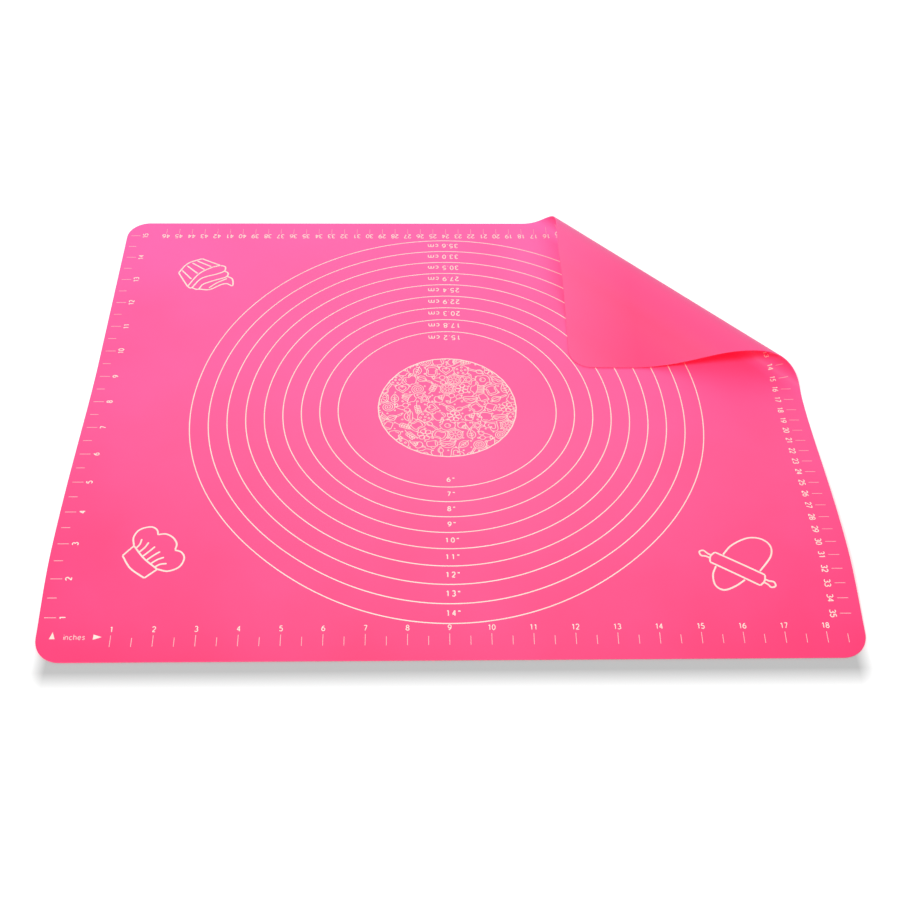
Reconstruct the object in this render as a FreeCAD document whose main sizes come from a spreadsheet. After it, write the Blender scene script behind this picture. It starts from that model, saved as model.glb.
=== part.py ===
import FreeCAD, Part
import math
import os
import Sketcher
from FreeCAD import Placement, Rotation, Vector

# A silicone baking mat that lies printed side up, with its back right corner turned over.
# X runs along the long side, Y from the front edge to the back edge and Z up.
# The origin is the middle of the underside. Lengths are in millimetres, angles in degrees.
SIZES = {
    # The moulded sheet
    "mat_width": 500.0,
    "mat_depth": 400.0,
    "mat_thickness": 0.7,
    "corner_radius": 20.0,
    # The printed guide rings, measured over the line, and the outline of the disc in their middle,
    # a little left of and behind the middle of the sheet because the rulers there take less room
    "ink_thickness": 0.03,
    "ring_offset_x": -0.9,
    "ring_offset_y": 1.4,
    "ring_first_diameter": 152.4,
    "ring_step": 25.4,
    "ring_line": 0.7,
    "disc_diameter": 97.0,
    "disc_line": 0.8,
    # The printed rulers: two count inches, two count centimetres
    "inch_step": 25.4,
    "centimetre_step": 10.0,
    "tick_line": 0.5,
    "front_zero": 19.2,
    "front_inset": 10.2,
    "front_tick": 7.3,
    "front_half_tick": 5.8,
    "left_zero": 3.7,
    "left_inset": 3.2,
    "left_tick": 7.2,
    "left_half_tick": 5.7,
    "right_zero": 20.9,
    "right_inset": 6.5,
    "right_tick": 6.8,
    "right_end": 25.0,
    "back_zero": 9.5,
    "back_inset": 7.1,
    "back_tick": 6.0,
    "back_end": 25.0,
    "ruler_end": 10.0,
    # The turned-over corner: widths of the bent strips across the fold, and the flat tip beyond them
    "curl_width_1": 6.0,
    "curl_width_2": 5.0,
    "curl_width_3": 5.0,
    "curl_width_4": 7.0,
    "curl_width_5": 7.0,
    "curl_width_6": 8.0,
    "curl_width_7": 12.0,
    "curl_width_8": 12.0,
    "settle_width": 11.5,
    "flap_reach": 30.0,
    "flap_clearance": 0.3,
    "strip_gap": 0.05,
    # How far a cutting shape runs past what it cuts
    "overrun": 2.0,
}
ANGLES = {
    # The way across the fold, turned from X, and how far each bent strip of the curl turns
    "fold_direction": 44.6,
    "curl_turn_1": 24.0,
    "curl_turn_2": 38.0,
    "curl_turn_3": 30.0,
    "curl_turn_4": 27.0,
    "curl_turn_5": 28.0,
    "curl_turn_6": 26.0,
    "curl_turn_7": 22.0,
    "curl_turn_8": 25.0,
}
FIRST_RING_INCHES = 6
CURL_STRIPS = 8
SETTLE_STRIPS = 3

HALF_TURN = math.pi
UP = Vector(0, 0, 1)

doc = FreeCAD.newDocument("baking_mat")
sub_parts = []


def make_sheet(name, values):
    """A spreadsheet with one aliased cell for each named value."""
    sheet = doc.addObject("Spreadsheet::Sheet", name)
    for row, (alias, value) in enumerate(values.items(), start=1):
        sheet.set("A%d" % row, alias)
        sheet.set("B%d" % row, "%.9f" % value)
        sheet.setAlias("B%d" % row, alias)
    doc.recompute()
    return sheet


sizes_sheet = make_sheet("Sizes", {**SIZES, **ANGLES})


def size(alias):
    """A driving size or angle, read from its cell."""
    return float(sizes_sheet.get(alias))


def bind(target, **expressions):
    """Tie an object's properties to cells of the spreadsheets."""
    for name, expression in expressions.items():
        target.setExpression(name, expression)


def keep(part, label):
    """Name a finished sub-part, so that it is checked and written at the end."""
    part.Label = label
    sub_parts.append(part)
    return part


# The fold

def fold_strips():
    """The strips of the fold in order, from the lying sheet to the turned-over flap.

    Each strip is part of one cylinder. Its profile runs on the middle of the sheet's thickness,
    measured out from the first fold line and up from the table. The curl turns past a half turn,
    a straight slope comes back down, and the settle strips bend it level again. The slope is as
    long as it takes for the flap's print to come down just clear of the print under it.
    """
    thickness = size("mat_thickness")
    turns = [math.radians(size("curl_turn_%d" % k)) for k in range(1, CURL_STRIPS + 1)]
    widths = [size("curl_width_%d" % k) for k in range(1, CURL_STRIPS + 1)]
    names = ["curl_strip_%d" % k for k in range(1, CURL_STRIPS + 1)]
    slope_angle = sum(turns) - HALF_TURN
    settle_turn = -slope_angle / SETTLE_STRIPS
    settle_width = size("settle_width")

    out, height, heading = 0.0, thickness / 2, 0.0
    for width, turn in zip(widths, turns):
        out, height, heading = end_of_strip(out, height, heading, width, turn)
    settle_radius = SETTLE_STRIPS * settle_width / slope_angle
    settle_drop = settle_radius * (1 - math.cos(slope_angle))
    flap_height = 3 * thickness / 2 + 2 * size("ink_thickness") + size("flap_clearance")
    slope_length = (height - settle_drop - flap_height) / math.sin(slope_angle)

    widths += [slope_length] + SETTLE_STRIPS * [settle_width]
    turns += [0.0] + SETTLE_STRIPS * [settle_turn]
    names += ["slope_strip"] + ["settle_strip_%d" % k for k in range(1, SETTLE_STRIPS + 1)]
    reach = sum(widths) + size("flap_reach")
    out, height, heading = 0.0, thickness / 2, 0.0
    strips = []
    for name, width, turn in zip(names, widths, turns):
        end = end_of_strip(out, height, heading, width, turn)
        strips.append({"name": name, "width": width, "turn": turn, "reach": reach,
                       "start": (out, height), "end": end[:2], "heading": heading})
        out, height, heading = end
        reach -= width
    return strips


def end_of_strip(out, height, heading, width, turn):
    """Where a strip's profile ends, and its heading there."""
    if turn == 0:
        return out + width * math.cos(heading), height + width * math.sin(heading), heading
    radius = width / turn
    after = heading + turn
    return (out + radius * (math.sin(after) - math.sin(heading)),
            height + radius * (math.cos(heading) - math.cos(after)), after)


FOLD = fold_strips()
FOLD_ANGLE = math.radians(size("fold_direction"))
FOLD_REACH = FOLD[0]["reach"]
OUTWARD = Vector(math.cos(FOLD_ANGLE), math.sin(FOLD_ANGLE), 0)
ALONG = Vector(math.sin(FOLD_ANGLE), -math.cos(FOLD_ANGLE), 0)
SHARP_CORNER = Vector(size("mat_width") / 2, size("mat_depth") / 2, 0)
FOLD_START = SHARP_CORNER - OUTWARD * FOLD_REACH


def fold_point(out, height):
    """A point of the fold's profile in the mat's own frame."""
    return FOLD_START + OUTWARD * out + UP * height


def strip_frame(strip):
    """The middle of a strip's chord, with the directions along the chord and square to it."""
    heading = strip["heading"] + strip["turn"] / 2
    tangent = OUTWARD * math.cos(heading) + UP * math.sin(heading)
    normal = ALONG.cross(tangent)
    middle = (fold_point(*strip["start"]) + fold_point(*strip["end"])) * 0.5
    return middle, tangent, normal


def strip_values():
    """Worked-out sizes of each strip, and where the fold line meets the mat's edges.

    A strip's ends follow the mat's back and right edges, so at a reach of d from the sharp corner
    it runs from d times the tangent of the fold's direction on one side to d over it on the other.
    """
    back_slope = math.tan(FOLD_ANGLE)
    overrun = size("overrun")
    gap = size("strip_gap")
    values = {}
    for strip in FOLD:
        name = strip["name"]
        chord = (fold_point(*strip["end"]) - fold_point(*strip["start"])).Length
        spare = overrun if strip["turn"] else -gap / 2
        taper = strip["width"] / chord
        first = strip["reach"] + spare * taper
        last = strip["reach"] - strip["width"] - spare * taper
        values[name + "_half_chord"] = chord / 2 + spare
        values[name + "_back_first"] = first * back_slope
        values[name + "_right_first"] = first / back_slope
        values[name + "_back_last"] = last * back_slope
        values[name + "_right_last"] = last / back_slope
        if strip["turn"]:
            radius = abs(strip["width"] / strip["turn"])
            values[name + "_radius"] = radius
            values[name + "_span"] = math.degrees(abs(strip["turn"]) - gap / radius)
    reach = size("flap_reach") - gap / 2
    values["flap_length"] = reach
    values["flap_back"] = reach * back_slope
    values["flap_right"] = reach / back_slope
    return values


make_sheet("Fold", strip_values())


def make_curved_strip(strip):
    """A slice of a tube wall, trimmed at both ends along the mat's edges."""
    name = strip["name"]
    middle, tangent, normal = strip_frame(strip)
    radius = abs(strip["width"] / strip["turn"])
    half_turn = abs(strip["turn"]) / 2
    side = math.copysign(1, strip["turn"])
    centre = middle + normal * (side * radius * math.cos(half_turn))
    half_span = math.radians(float(doc.Fold.get(name + "_span"))) / 2
    first_spoke = (tangent * math.sin(half_span) + normal * math.cos(half_span)) * -side
    overrun = size("overrun")
    back_end = float(doc.Fold.get(name + "_back_first")) + overrun
    turned = Rotation(first_spoke, ALONG.cross(first_spoke), ALONG, "ZXY")

    outer = doc.addObject("Part::Cylinder", name + "_outer")
    bind(outer, Radius="Fold.%s_radius + Sizes.mat_thickness / 2" % name, Angle="Fold.%s_span" % name,
         Height="Fold.%s_back_first + Fold.%s_right_first + 2 * Sizes.overrun" % (name, name))
    outer.Placement = Placement(centre - ALONG * back_end, turned)
    inner = doc.addObject("Part::Cylinder", name + "_inner")
    bind(inner, Radius="Fold.%s_radius - Sizes.mat_thickness / 2" % name,
         Height="Fold.%s_back_first + Fold.%s_right_first + 4 * Sizes.overrun" % (name, name))
    inner.Placement = Placement(centre - ALONG * (back_end + overrun), turned)
    wall = doc.addObject("Part::Cut", name + "_wall")
    wall.Base = outer
    wall.Tool = inner
    blank = make_strip_blank(strip, "Sizes.mat_thickness + Sizes.overrun")
    trimmed = doc.addObject("Part::Common", name)
    trimmed.Base = wall
    trimmed.Tool = blank
    return keep(trimmed, name)


def make_strip_blank(strip, half_height):
    """A flat bar with its ends cut along the mat's edges, as high as the given expression says."""
    name = strip["name"]
    middle, tangent, normal = strip_frame(strip)
    blank = doc.addObject("Part::Wedge", name + "_blank")
    bind(blank, Xmin="-Fold.%s_back_first" % name, Xmax="Fold.%s_right_first" % name,
         X2min="-Fold.%s_back_last" % name, X2max="Fold.%s_right_last" % name,
         Ymin="-Fold.%s_half_chord" % name, Ymax="Fold.%s_half_chord" % name,
         Zmin="-(%s)" % half_height, Zmax=half_height,
         Z2min="-(%s)" % half_height, Z2max=half_height)
    blank.Placement = Placement(middle, Rotation(ALONG, tangent, normal, "ZXY"))
    return blank


def make_straight_strip(strip):
    """The one strip of the fold with no bend."""
    return keep(make_strip_blank(strip, "Sizes.mat_thickness / 2"), strip["name"])


# Flat pieces

def plane_of(body, role):
    """One of a body's own origin planes or axes."""
    return [feature for feature in body.Origin.OriginFeatures if feature.Role == role][0]


def new_body(name):
    """An empty body that may hold several separate solids."""
    body = doc.addObject("PartDesign::Body", name)
    body.AllowCompound = True
    return body


def flat_sketch(body, name):
    """A sketch on the body's own XY plane."""
    sketch = body.newObject("Sketcher::SketchObject", name)
    sketch.AttachmentSupport = (plane_of(body, "XY_Plane"), [""])
    sketch.MapMode = "FlatFace"
    return sketch


def draw_outline(sketch, corners):
    """A closed outline of straight lines, each corner placed by two expressions."""
    points = [Vector(*[float(sizes_sheet.evalExpression(e)) for e in corner]) for corner in corners]
    lines = [sketch.addGeometry(Part.LineSegment(point, points[(k + 1) % len(points)]))
             for k, point in enumerate(points)]
    for k, line in enumerate(lines):
        sketch.addConstraint(Sketcher.Constraint("Coincident", line, 2, lines[(k + 1) % len(lines)], 1))
    for line, point, corner in zip(lines, points, corners):
        for kind, value, expression in (("DistanceX", point.x, corner[0]), ("DistanceY", point.y, corner[1])):
            place = sketch.addConstraint(Sketcher.Constraint(kind, -1, 1, line, 1, value))
            sketch.setExpression("Constraints[%d]" % place, expression)


def draw_circle(sketch, radius):
    """A circle about the sketch's origin, with its radius from an expression."""
    start = float(sizes_sheet.evalExpression(radius))
    circle = sketch.addGeometry(Part.Circle(Vector(0, 0, 0), UP, start))
    sketch.addConstraint(Sketcher.Constraint("Coincident", circle, 3, -1, 1))
    place = sketch.addConstraint(Sketcher.Constraint("Radius", circle, start))
    sketch.setExpression("Constraints[%d]" % place, radius)


def pad(body, sketch, thickness):
    """Raise a sketch by a thickness given as an expression."""
    feature = body.newObject("PartDesign::Pad", sketch.Name + "_pad")
    feature.Profile = sketch
    bind(feature, Length=thickness)
    doc.recompute()
    return feature


def round_upright_edges(body, feature, corners):
    """Round the upright edges that stand on the given corners."""
    chosen = []
    for k, edge in enumerate(feature.Shape.Edges, start=1):
        middle = edge.CenterOfMass
        upright = abs(edge.tangentAt(edge.FirstParameter).z) > 0.5
        if upright and any(Vector(middle.x, middle.y, 0).isEqual(c, size("overrun")) for c in corners):
            chosen.append("Edge%d" % k)
    fillet = body.newObject("PartDesign::Fillet", body.Name + "_corners")
    fillet.Base = (feature, chosen)
    bind(fillet, Radius="Sizes.corner_radius")
    doc.recompute()
    return fillet


def make_mat_blank():
    """The whole flat sheet with its four rounded corners."""
    body = new_body("mat_blank")
    sketch = flat_sketch(body, "mat_outline")
    half_width, half_depth = "Sizes.mat_width / 2", "Sizes.mat_depth / 2"
    signs = (("-", "-"), ("", "-"), ("", ""), ("-", ""))
    draw_outline(sketch, [(x + half_width, y + half_depth) for x, y in signs])
    raised = pad(body, sketch, "Sizes.mat_thickness")
    corners = [Vector(x * SHARP_CORNER.x, y * SHARP_CORNER.y, 0) for x in (-1, 1) for y in (-1, 1)]
    round_upright_edges(body, raised, corners)
    return body


def make_fold_side():
    """A block over everything beyond the first fold line, to cut the lying part back to it."""
    block = doc.addObject("Part::Box", "fold_side")
    bind(block, Length="2 * (Sizes.mat_width + Sizes.mat_depth)", Width="Sizes.mat_width + Sizes.mat_depth",
         Height="Sizes.mat_thickness + Sizes.ink_thickness + 2 * Sizes.overrun")
    corner = FOLD_START - ALONG * (size("mat_width") + size("mat_depth")) - UP * size("overrun")
    edge = corner - OUTWARD * (size("strip_gap") / 2)
    block.Placement = Placement(edge, Rotation(ALONG, OUTWARD, UP, "ZXY"))
    return block


def cut_at_fold(whole, block, label):
    """The part of a flat piece that lies before the first fold line."""
    lying = doc.addObject("Part::Cut", label)
    lying.Base = whole
    lying.Tool = block
    return keep(lying, label)


def make_corner_flap():
    """The tip of the corner beyond the fold, lying upside down on the mat."""
    body = new_body("corner_flap")
    sketch = flat_sketch(body, "flap_outline")
    draw_outline(sketch, [("-Fold.flap_back", "0"), ("Fold.flap_right", "0"), ("0", "Fold.flap_length")])
    raised = pad(body, sketch, "Sizes.mat_thickness")
    tip = Vector(0, float(doc.Fold.flap_length), 0)
    round_upright_edges(body, raised, [tip])
    last = FOLD[-1]
    start = fold_point(*last["end"]) + UP * (size("mat_thickness") / 2)
    start -= OUTWARD * (size("strip_gap") / 2)
    body.Placement = Placement(start, Rotation(ALONG, OUTWARD * -1, UP * -1, "ZXY"))
    return keep(body, "corner_flap")


# Printed pieces

def whole_steps(length, step):
    """How many whole steps fit in a length."""
    return int(math.floor(length / step))


def make_ring(name, outer_radius, line):
    """A printed circle line on the mat's upper face."""
    body = new_body(name + "_print")
    sketch = flat_sketch(body, name + "_circles")
    draw_circle(sketch, outer_radius)
    draw_circle(sketch, "%s - %s" % (outer_radius, line))
    pad(body, sketch, "Sizes.ink_thickness")
    middle = Vector(size("ring_offset_x"), size("ring_offset_y"), size("mat_thickness"))
    body.Placement = Placement(middle, Rotation())
    return body


def rings_that_fit():
    """How many rings lie wholly on the sheet, inside its rulers and before the first fold line."""
    half_width, half_depth = size("mat_width") / 2, size("mat_depth") / 2
    x, y = size("ring_offset_x"), size("ring_offset_y")
    clear_radius = min((FOLD_START - Vector(x, y, 0)).dot(OUTWARD) - size("strip_gap"),
                       half_depth + y - size("front_inset") - size("front_tick"),
                       half_depth - y - size("back_inset") - size("back_tick"),
                       half_width + x - size("left_inset") - size("left_tick"),
                       half_width - x - size("right_inset") - size("right_tick"))
    room = 2 * clear_radius - size("ring_first_diameter")
    return whole_steps(room, size("ring_step")) + 1


def make_guide_rings(fold_side):
    """Concentric rings a step apart, for rolling dough out to a diameter."""
    for k in range(rings_that_fit()):
        name = "ring_%02d_inch" % (FIRST_RING_INCHES + k)
        radius = "(Sizes.ring_first_diameter + %d * Sizes.ring_step) / 2" % k
        ring = make_ring(name, radius, "Sizes.ring_line")
        cut_at_fold(ring, fold_side, name)
    disc = make_ring("disc_outline", "Sizes.disc_diameter / 2", "Sizes.disc_line")
    cut_at_fold(disc, fold_side, "disc_outline")


def add_ticks(body, name, first, step, count, inset, length):
    """A row of tick lines along the body's X axis: first place, step, inset and length as expressions."""
    sketch = flat_sketch(body, name)
    left = "%s - Sizes.tick_line / 2" % first
    right = "%s + Sizes.tick_line / 2" % first
    inner = "%s + %s" % (inset, length)
    draw_outline(sketch, [(left, inset), (right, inset), (right, inner), (left, inner)])
    tick = pad(body, sketch, "Sizes.ink_thickness")
    row = body.newObject("PartDesign::LinearPattern", name + "_row")
    row.Originals = [tick]
    row.Direction = (sketch, ["H_Axis"])
    row.Mode = "Spacing"
    bind(row, Offset=step)
    row.Occurrences = count
    body.Tip = row
    doc.recompute()


def place_ruler(body, corner, along_edge):
    """Put a ruler on the upper face: X along one edge of the mat, Y inwards from that edge."""
    inward = UP.cross(along_edge)
    body.Placement = Placement(corner + UP * size("mat_thickness"), Rotation(along_edge, inward, UP, "ZXY"))
    keep(body, body.Name)


def first_step_on_sheet(zero, step, inset, along, across):
    """The first tick, counted away from the sharp corner, that lies wholly before the fold line."""
    clear = (FOLD_REACH + size("strip_gap") - inset * across) / along + size("tick_line") / 2
    return int(math.ceil((clear - zero) / step))


def make_rulers():
    """Four ruler rows: inches at the front and left, centimetres at the right and back."""
    width, depth = size("mat_width"), size("mat_depth")
    inch, centimetre, end = size("inch_step"), size("centimetre_step"), size("ruler_end")
    x_out, y_out = Vector(1, 0, 0), Vector(0, 1, 0)

    front = new_body("front_ruler_ticks")
    room = width - size("front_zero") - end
    add_ticks(front, "front_inches", "(Sizes.front_zero + Sizes.inch_step)", "Sizes.inch_step",
              whole_steps(room, inch), "Sizes.front_inset", "Sizes.front_tick")
    add_ticks(front, "front_halves", "(Sizes.front_zero + 3 * Sizes.inch_step / 2)", "Sizes.inch_step",
              whole_steps(room - inch / 2, inch), "Sizes.front_inset", "Sizes.front_half_tick")
    place_ruler(front, Vector(-width / 2, -depth / 2, 0), x_out)

    left = new_body("left_ruler_ticks")
    room = depth - size("left_zero") - end
    last_inch, last_half = whole_steps(room, inch), whole_steps(room - inch / 2, inch)
    from_back = "(Sizes.mat_depth - Sizes.left_zero - %d * Sizes.inch_step / 2)"
    add_ticks(left, "left_inches", from_back % (2 * last_inch), "Sizes.inch_step",
              last_inch, "Sizes.left_inset", "Sizes.left_tick")
    add_ticks(left, "left_halves", from_back % (2 * last_half + 1), "Sizes.inch_step",
              last_half, "Sizes.left_inset", "Sizes.left_half_tick")
    place_ruler(left, Vector(-width / 2, depth / 2, 0), y_out * -1)

    right = new_body("right_ruler_ticks")
    last = whole_steps(depth - size("right_zero") - size("right_end"), centimetre)
    first = first_step_on_sheet(size("right_zero"), centimetre, size("right_inset"), OUTWARD.y, OUTWARD.x)
    add_ticks(right, "right_centimetres",
              "(Sizes.mat_depth - Sizes.right_zero - %d * Sizes.centimetre_step)" % last,
              "Sizes.centimetre_step", last - first + 1, "Sizes.right_inset", "Sizes.right_tick")
    place_ruler(right, Vector(width / 2, -depth / 2, 0), y_out)

    back = new_body("back_ruler_ticks")
    last = whole_steps(width - size("back_zero") - size("back_end"), centimetre)
    first = first_step_on_sheet(size("back_zero"), centimetre, size("back_inset"), OUTWARD.x, OUTWARD.y)
    add_ticks(back, "back_centimetres", "(Sizes.back_zero + %d * Sizes.centimetre_step)" % first,
              "Sizes.centimetre_step", last - first + 1, "Sizes.back_inset", "Sizes.back_tick")
    place_ruler(back, Vector(width / 2, depth / 2, 0), x_out * -1)


# Build, check and write

fold_side = make_fold_side()
cut_at_fold(make_mat_blank(), fold_side, "mat_sheet")
for strip in FOLD:
    if strip["turn"]:
        make_curved_strip(strip)
    else:
        make_straight_strip(strip)
make_corner_flap()
make_guide_rings(fold_side)
make_rulers()
doc.recompute()

for item in doc.Objects:
    if "Invalid" in item.State or "Error" in item.State:
        raise RuntimeError("failed: %s %s" % (item.Name, item.State))
for part in sub_parts:
    if part.Shape.isNull() or not part.Shape.isValid() or not part.Shape.Solids:
        raise RuntimeError("bad shape: %s" % part.Label)

os.makedirs("parts", exist_ok=True)
for part in sub_parts:
    part.Shape.exportStep("parts/%s.step" % part.Label)
    box = part.Shape.BoundBox
    print("%-20s solids %3d  volume %10.2f  height %6.2f to %6.2f"
          % (part.Label, len(part.Shape.Solids), part.Shape.Volume, box.ZMin, box.ZMax))
print("fold: reach %.2f, slope strip %.2f long, flap on the mat" % (FOLD_REACH, FOLD[CURL_STRIPS]["width"]))
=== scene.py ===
import math

import bmesh
import bpy
import numpy as np
from mathutils import Matrix


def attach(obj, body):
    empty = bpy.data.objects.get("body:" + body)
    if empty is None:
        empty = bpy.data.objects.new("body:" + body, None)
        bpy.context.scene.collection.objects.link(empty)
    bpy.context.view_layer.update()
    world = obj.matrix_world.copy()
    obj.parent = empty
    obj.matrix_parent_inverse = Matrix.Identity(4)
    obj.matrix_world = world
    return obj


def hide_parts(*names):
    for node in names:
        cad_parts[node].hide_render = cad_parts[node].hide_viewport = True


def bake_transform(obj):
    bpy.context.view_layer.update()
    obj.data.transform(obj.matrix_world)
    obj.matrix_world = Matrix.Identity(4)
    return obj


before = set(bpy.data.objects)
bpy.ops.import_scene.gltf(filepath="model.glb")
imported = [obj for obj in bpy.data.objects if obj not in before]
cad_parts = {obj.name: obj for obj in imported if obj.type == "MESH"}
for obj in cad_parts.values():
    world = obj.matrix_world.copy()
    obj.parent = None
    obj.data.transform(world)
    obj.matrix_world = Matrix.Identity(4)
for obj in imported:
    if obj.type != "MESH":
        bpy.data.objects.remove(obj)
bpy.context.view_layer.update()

# A silicone baking mat that lies printed side up, with its back right corner turned over.
# Lengths are in millimetres until a mesh is made. X runs along the long side, Y from the front
# edge to the back edge and Z up, and the origin is the middle of the underside.
MM = 0.001
WIDTH = 500.0
DEPTH = 400.0
LEFT = -WIDTH / 2
RIGHT = WIDTH / 2
FRONT = -DEPTH / 2
BACK = DEPTH / 2
THICKNESS = 0.7
CORNER_RADIUS = 16.5
INK_THICKNESS = 0.03

# The turned-over corner: strips that each bend round a radius of their own, and a flat tip
FOLD_WAY = math.radians(44.6)
CURL_WIDTHS = np.array([6.0, 5.0, 5.0, 7.0, 7.0, 8.0, 12.0, 12.0])
CURL_TURNS = np.radians([24.0, 38.0, 30.0, 27.0, 28.0, 26.0, 22.0, 25.0])
SETTLE_STRIPS = 3
SETTLE_WIDTH = 11.5
FLAP_REACH = 30.0
FLAP_CLEARANCE = 0.3

# The lying sheet isn't quite flat: a low wave runs through it from the left edge to the right one.
# It goes down to the front edge, and less far back on the right, where it ends before the fold
WAVE_HEIGHT = 9.0
WAVE_CREST = -123.3
WAVE_TO_FRONT = 76.0
WAVE_TO_BACK = 150.0
WAVE_NARROWING = 20.0

# The print: guide rings round a filled disc, rulers along the edges, and small pictures
RING_MIDDLE = (-0.9, 1.4)
RING_INCHES = range(6, 15)
INCH = 25.4
RING_LINE = 0.7
DISC_RADIUS = 48.5
DISC_LINE = 0.8
LETTER_LINE = 0.7
PICTURE_LINE = 1.1
DISC_PICTURE_LINE = 0.45
DRAWING_STEP = 10.4
DRAWING_SIZE = 5.3


# The bent sheet

def running_sum(steps):
    """What a row of steps adds up to on the way, from zero on."""
    return np.append(0.0, np.cumsum(steps))


def directions(angle):
    """Unit steps in the plane: the cosine and the sine of each angle."""
    return np.stack([np.cos(angle), np.sin(angle)], axis=-1)


def strip_ends(widths, turns):
    """Where the strips of the fold begin and end, on the middle of the sheet's thickness.

    A strip is an arc, so it leads on by its chord, which is the width times sin(a) / a for a half
    turn a, in the heading of its middle. Returns how far along the sheet, how far out from the
    first fold line and how high each strip's ends are, and the headings there.
    """
    heading = running_sum(turns)
    chord = widths * np.sinc(turns / 2 / np.pi)
    middle = heading[:-1] + turns / 2
    run = running_sum(widths)
    out = running_sum(chord * np.cos(middle))
    height = THICKNESS / 2 + running_sum(chord * np.sin(middle))
    return run, out, height, heading


def fold_strips():
    """Widths and turns of the strips: the curl, a straight slope back down, and the settling bend.

    The slope is as long as it takes for the flap's print to come down just clear of the sheet's.
    """
    slope_angle = CURL_TURNS.sum() - math.pi
    curl_height = strip_ends(CURL_WIDTHS, CURL_TURNS)[2][-1]
    settle_drop = SETTLE_STRIPS * SETTLE_WIDTH * (1 - math.cos(slope_angle)) / slope_angle
    flap_height = 1.5 * THICKNESS + 2 * INK_THICKNESS + FLAP_CLEARANCE
    slope_width = (curl_height - settle_drop - flap_height) / math.sin(slope_angle)
    widths = [*CURL_WIDTHS, slope_width] + SETTLE_STRIPS * [SETTLE_WIDTH]
    turns = [*CURL_TURNS, 0.0] + SETTLE_STRIPS * [-slope_angle / SETTLE_STRIPS]
    return np.array(widths), np.array(turns)


STRIP_WIDTHS, STRIP_TURNS = fold_strips()
STRIP_RUN, STRIP_OUT, STRIP_HEIGHT, STRIP_HEADING = strip_ends(STRIP_WIDTHS, STRIP_TURNS)
ACROSS = directions(FOLD_WAY)
ALONG = np.array([math.sin(FOLD_WAY), -math.cos(FOLD_WAY)])
FOLD_LINE = ACROSS @ (RIGHT, BACK) - STRIP_WIDTHS.sum() - FLAP_REACH

# Each stretch of the sheet goes on from the end before it: first the lying sheet, last the flap
STRETCH_RUN = np.append(0.0, STRIP_RUN)
STRETCH_OUT = np.append(0.0, STRIP_OUT)
STRETCH_HEIGHT = np.append(THICKNESS / 2, STRIP_HEIGHT)
STRETCH_HEADING = np.append(0.0, STRIP_HEADING)
STRETCH_CURVE = np.concatenate([[0.0], STRIP_TURNS / STRIP_WIDTHS, [0.0]])


def bend(across):
    """The fold's profile: how far out, how high and in which heading a distance across it comes.

    The distance picks its stretch, and from the stretch's start a chord is laid as in strip_ends.
    """
    stretch = np.searchsorted(STRIP_RUN, across, side="right")
    run = across - STRETCH_RUN[stretch]
    half_turn = STRETCH_CURVE[stretch] * run / 2
    chord = run * np.sinc(half_turn / np.pi)
    middle = STRETCH_HEADING[stretch] + half_turn
    out = STRETCH_OUT[stretch] + chord * np.cos(middle)
    height = STRETCH_HEIGHT[stretch] + chord * np.sin(middle)
    return out, height, middle + half_turn


def wave(x, y):
    """Height of the low wave: (1 - v^2)^2, with v from 0 at the crest to 1 where the sheet is flat."""
    to_back = WAVE_TO_BACK - WAVE_NARROWING * x / RIGHT
    v = (y - WAVE_CREST) / np.where(y < WAVE_CREST, WAVE_TO_FRONT, to_back)
    return WAVE_HEIGHT * (1 - np.clip(v, -1, 1) ** 2) ** 2


def on_sheet(flat):
    """Places in metres of points given on the flat sheet as x, y and rise above mid-thickness.

    The part of x and y across the fold goes through the bend, the part along it stays, and the
    rise stands square to the bent sheet.
    """
    x, y, rise = np.moveaxis(flat, -1, 0)
    out, height, heading = bend(x * ACROSS[0] + y * ACROSS[1] - FOLD_LINE)
    along = x * ALONG[0] + y * ALONG[1]
    reach = FOLD_LINE + out - np.sin(heading) * rise
    x_bent = reach * ACROSS[0] + along * ALONG[0]
    y_bent = reach * ACROSS[1] + along * ALONG[1]
    z = height + np.cos(heading) * rise + wave(x, y)
    return MM * np.stack([x_bent, y_bent, z], axis=-1)


# Meshes

# Edges sharper than this angle stay hard, and points closer than this become one
SHARP_ANGLE = math.radians(50)
SAME_PLACE = 0.001


def add_object(name, data):
    """A new object in the scene: a mesh, a lamp or a camera."""
    thing = bpy.data.objects.new(name, data)
    bpy.context.scene.collection.objects.link(thing)
    return thing


def tube_faces(rows, loop, joined=False, lids=(True, True)):
    """Quads of a closed section carried along a path; an end gets a lid of quads across the section."""
    row = np.arange(rows if joined else rows - 1)[:, None] * loop
    row_after = (row + loop) % (rows * loop)
    point = np.arange(loop)[None, :]
    point_after = (point + 1) % loop
    corners = [row + point, row + point_after, row_after + point_after, row_after + point]
    faces = [np.stack(corners, axis=-1).reshape(-1, 4)]
    if not joined:
        side = np.arange(loop // 2 - 1)
        lid = np.stack([side, side + 1, loop - 2 - side, loop - 1 - side], axis=-1)
        if lids[0]:
            faces.append(lid[:, ::-1])
        if lids[1]:
            faces.append(lid + (rows - 1) * loop)
    return np.concatenate(faces)


def make_piece(name, flat, quads, material):
    """A mesh on the bent sheet, which keeps its places on the flat sheet for the materials to read."""
    flat = flat.reshape(-1, 3)
    mesh = bpy.data.meshes.new(name)
    mesh.from_pydata(on_sheet(flat), [], quads)
    place = mesh.attributes.new("flat_place", "FLOAT_VECTOR", "POINT")
    place.data.foreach_set("vector", (MM * flat).ravel())
    close_poles(mesh)
    mesh.shade_smooth()
    mesh.set_sharp_from_angle(angle=SHARP_ANGLE)
    mesh.materials.append(material)
    return add_object(name, mesh)


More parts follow.
